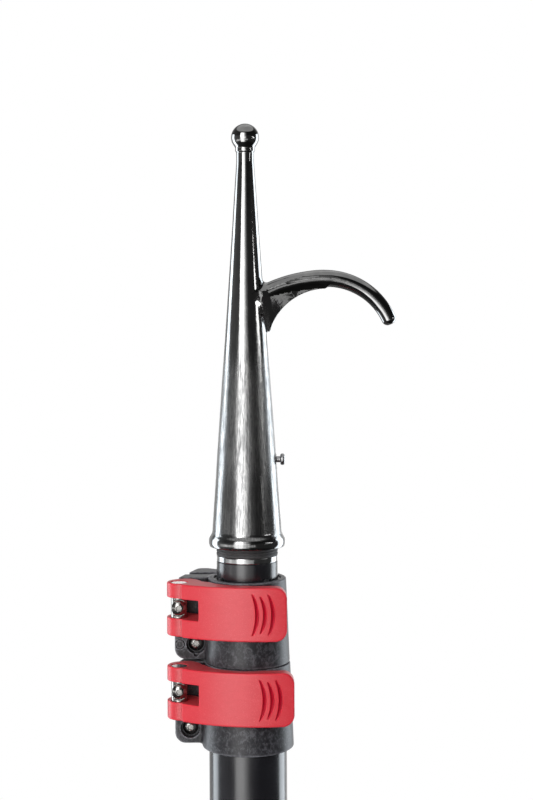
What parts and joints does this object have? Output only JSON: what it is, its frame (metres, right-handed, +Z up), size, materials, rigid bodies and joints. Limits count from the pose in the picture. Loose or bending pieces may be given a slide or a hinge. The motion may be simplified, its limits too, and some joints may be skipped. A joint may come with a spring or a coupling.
{
  "type": "boat hook",
  "caption": "Telescopic boat hook: ball-tipped steel hook head on three nested tubes locked by lever clamps.",
  "frame": {"origin": "centre of the flat butt face, on the pole's axis", "axes": "+Z up the pole to the ball tip, +X the way the hook points, -Y the side the clamp levers close across"},
  "size_m": [0.1125, 0.0572, 0.9502],
  "materials": {
    "tube": "black anodised, satin gloss",
    "clamp_plastic": "glass-filled nylon, matte, faintly mottled",
    "lever_plastic": "red glass-filled nylon, satin, faintly mottled",
    "sleeve_plastic": "black acetal, satin",
    "bush_plastic": "natural nylon, turned",
    "plug_plastic": "black moulded plastic, fine texture",
    "gasket_rubber": "matte ribbed rubber",
    "head_steel": "cast stainless steel, brushed cone and polished hook and ball",
    "adapter_steel": "turned stainless steel, bright",
    "button_steel": "stainless steel, satin",
    "fastener_steel": "stainless steel, bright"
  },
  "bodies": {
    "outer": {"outer_tube": "tube", "butt_plug": "plug_plastic", "lower_clamp_body": "clamp_plastic", "lower_clamp_sleeve": "sleeve_plastic", "lower_pivot_barrel": "fastener_steel", "lower_tension_screw": "fastener_steel", "lower_tension_nut": "fastener_steel", "lower_fixing_screw": "fastener_steel", "lower_fixing_nut": "fastener_steel"},
    "middle_slider": {"middle_guide_bush": "bush_plastic"},
    "middle": {"middle_tube": "tube", "upper_clamp_body": "clamp_plastic", "upper_clamp_sleeve": "sleeve_plastic", "upper_pivot_barrel": "fastener_steel", "upper_tension_screw": "fastener_steel", "upper_tension_nut": "fastener_steel", "upper_fixing_screw": "fastener_steel", "upper_fixing_nut": "fastener_steel"},
    "inner_slider": {"inner_guide_bush": "bush_plastic"},
    "inner": {"inner_tube": "tube", "head_adapter": "adapter_steel", "head_gasket": "gasket_rubber", "hook_head": "head_steel", "button_spring": "button_steel"},
    "lower_cam_lever": {"lower_lever": "lever_plastic"},
    "upper_cam_lever": {"upper_lever": "lever_plastic"},
    "head_button": {"lock_button": "button_steel"}
  },
  "joints": [
    {"name": "middle_slide", "type": "slide", "parent": "outer", "child": "middle_slider", "axis": [0, 0, 1], "range_m": [0, 0.52]},
    {"name": "middle_swivel", "type": "hinge", "parent": "middle_slider", "child": "middle", "pos_m": [0, 0, 0.646], "axis": [0, 0, 1], "continuous": true},
    {"name": "inner_slide", "type": "slide", "parent": "middle", "child": "inner_slider", "axis": [0, 0, 1], "range_m": [0, 0.52]},
    {"name": "inner_swivel", "type": "hinge", "parent": "inner_slider", "child": "inner", "pos_m": [0, 0, 0.6872], "axis": [0, 0, 1], "continuous": true},
    {"name": "lower_lever_hinge", "type": "hinge", "parent": "outer", "child": "lower_cam_lever", "pos_m": [-0.033, -0.0098, 0.67435], "axis": [0, 0, -1], "range_deg": [0, 140]},
    {"name": "upper_lever_hinge", "type": "hinge", "parent": "middle", "child": "upper_cam_lever", "pos_m": [-0.033, -0.0098, 0.71555], "axis": [0, 0, -1], "range_deg": [0, 140]},
    {"name": "button_press", "type": "slide", "parent": "inner", "child": "head_button", "axis": [-1, 0, 0], "range_m": [0, 0.0073], "stiffness_N_per_m": 900, "springref_m": -0.003, "deforming": ["button_spring"]}
  ]
}
